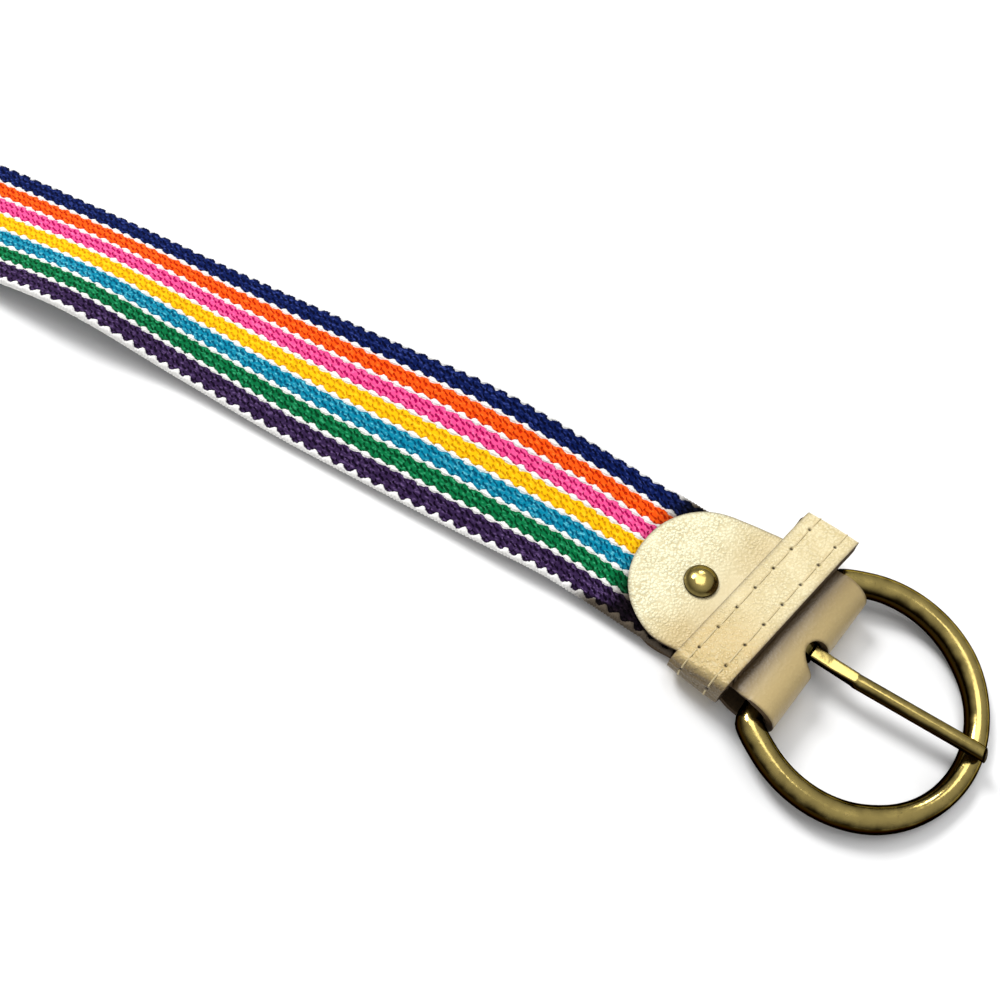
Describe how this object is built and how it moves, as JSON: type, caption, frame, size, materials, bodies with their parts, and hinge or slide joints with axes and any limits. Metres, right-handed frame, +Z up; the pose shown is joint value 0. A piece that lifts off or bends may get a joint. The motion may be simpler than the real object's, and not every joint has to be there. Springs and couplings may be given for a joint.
{
  "type": "elastic belt",
  "caption": "Striped woven elastic belt with a riveted leather end, leather keeper, round wire buckle with prong and a plain leather tip.",
  "frame": {"origin": "middle of the belt's footprint, on the table it lies on", "axes": "+X along the strap towards the buckle, +Y across the strap towards the navy edge, +Z up from the table"},
  "size_m": [0.7214, 0.0494, 0.0122],
  "materials": {
    "striped_elastic": "ribbed weave in seven coloured stripes with white lines between them",
    "cream_leather": "fine pebbled grain, satin",
    "antique_brass": "polished, darkened"
  },
  "bodies": {
    "strap": {"webbing": "striped_elastic", "buckle_tab": "cream_leather", "keeper": "cream_leather", "rivet": "antique_brass", "strap_tip": "cream_leather"},
    "buckle": {"buckle_frame": "antique_brass"},
    "tongue": {"prong": "antique_brass"}
  },
  "joints": [
    {"name": "buckle_hinge", "type": "hinge", "parent": "strap", "child": "buckle", "pos_m": [0.32528, -0.00034, 0.0052], "axis": [-0.1063, -0.9943, 0], "range_deg": [-30, 6]},
    {"name": "prong_hinge", "type": "hinge", "parent": "buckle", "child": "tongue", "pos_m": [0.32528, -0.00034, 0.0052], "axis": [-0.1063, -0.9943, 0], "range_deg": [0, 12]}
  ]
}
